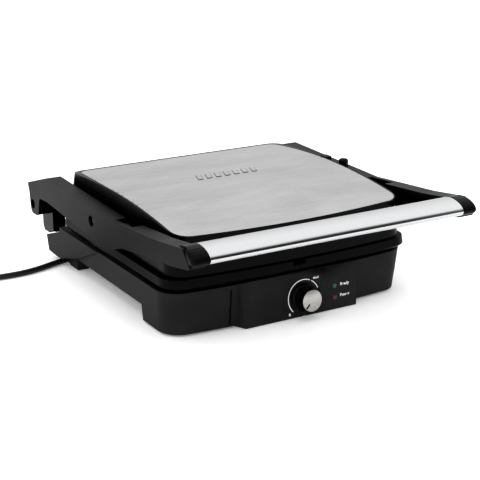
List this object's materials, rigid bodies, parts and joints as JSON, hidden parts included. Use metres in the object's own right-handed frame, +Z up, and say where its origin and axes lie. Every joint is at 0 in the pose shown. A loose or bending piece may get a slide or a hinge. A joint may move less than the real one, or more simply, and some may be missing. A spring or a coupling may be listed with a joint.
{
  "type": "panini press",
  "caption": "Contact grill with a floating brushed-steel lid carried by two arms and a bar handle, ribbed plates, a thermostat knob and a release button.",
  "frame": {"origin": "bottom centre of the bounding box without the cord, on the worktop the grill stands on", "axes": "+Z up, -Y towards the front with the handle bar, +X to the right seen from the front"},
  "size_m": [0.5495, 0.5343, 0.1303],
  "materials": {
    "housing": "moulded black heat-resistant plastic, fine grain",
    "gloss_black": "moulded black plastic with a faint horizontal line texture",
    "arm_grey": "dark grey-black moulded plastic, satin",
    "steel": "brushed stainless steel, brush lines along X",
    "bar": "polished anodised aluminium",
    "grill_plate": "cast aluminium with a dark non-stick coating",
    "zinc": "zinc-plated steel",
    "element": "sheathed heating element, dull oxide",
    "reflector": "aluminised sheet",
    "rubber": "black rubber",
    "lens_green": "dark green transparent plastic lens, unlit",
    "lens_red": "red transparent plastic lens, unlit",
    "insulator": "off-white heat-resistant moulding",
    "cord": "black sheathed mains cord"
  },
  "bodies": {
    "base": {"lower_housing": "housing", "bottom_cover": "housing", "cover_screw_1": "zinc", "cover_screw_2": "zinc", "cover_screw_3": "zinc", "cover_screw_4": "zinc", "foot_front_left": "rubber", "foot_front_right": "rubber", "foot_rear_left": "rubber", "foot_rear_right": "rubber", "hinge_post_left": "gloss_black", "hinge_post_right": "gloss_black", "thermostat": "zinc", "lamp_board": "insulator", "lens_ready": "lens_green", "lens_power": "lens_red", "lower_reflector": "reflector", "lower_element": "element", "terminal_block": "insulator", "lower_plate": "grill_plate", "strain_relief": "cord", "power_cord": "cord", "cord_coil": "cord", "plug": "housing", "plug_pin_1": "zinc", "plug_pin_2": "zinc"},
    "handle": {"arm_left": "arm_grey", "arm_right": "arm_grey", "handle_bar": "bar", "end_cap_left": "gloss_black", "end_cap_right": "gloss_black", "hinge_pin_left": "zinc", "hinge_pin_right": "zinc", "pivot_screw_left": "zinc", "pivot_screw_right": "zinc", "release_spring": "zinc"},
    "lid": {"upper_housing": "gloss_black", "steel_cover": "steel", "upper_plate": "grill_plate", "upper_element": "element", "upper_reflector": "reflector"},
    "knob": {"knob": "gloss_black", "knob_cap": "steel"},
    "button": {"release_button": "gloss_black"}
  },
  "joints": [
    {"name": "handle_hinge", "type": "hinge", "parent": "base", "child": "handle", "pos_m": [0, 0.202, 0.073], "axis": [-1, 0, 0], "range_deg": [0, 180]},
    {"name": "lid_tilt", "type": "hinge", "parent": "handle", "child": "lid", "pos_m": [0, 0.022, 0.0984], "axis": [1, 0, 0], "range_deg": [-0.5, 0.5]},
    {"name": "knob_turn", "type": "hinge", "parent": "base", "child": "knob", "pos_m": [0.0028, -0.14112, 0.0225], "axis": [0, 0.9963, -0.0856], "range_deg": [0, 200]},
    {"name": "release_press", "type": "slide", "parent": "handle", "child": "button", "axis": [0, 0, -1], "range_m": [0, 0.003], "stiffness_N_per_m": 400, "deforming": ["release_spring"]}
  ]
}
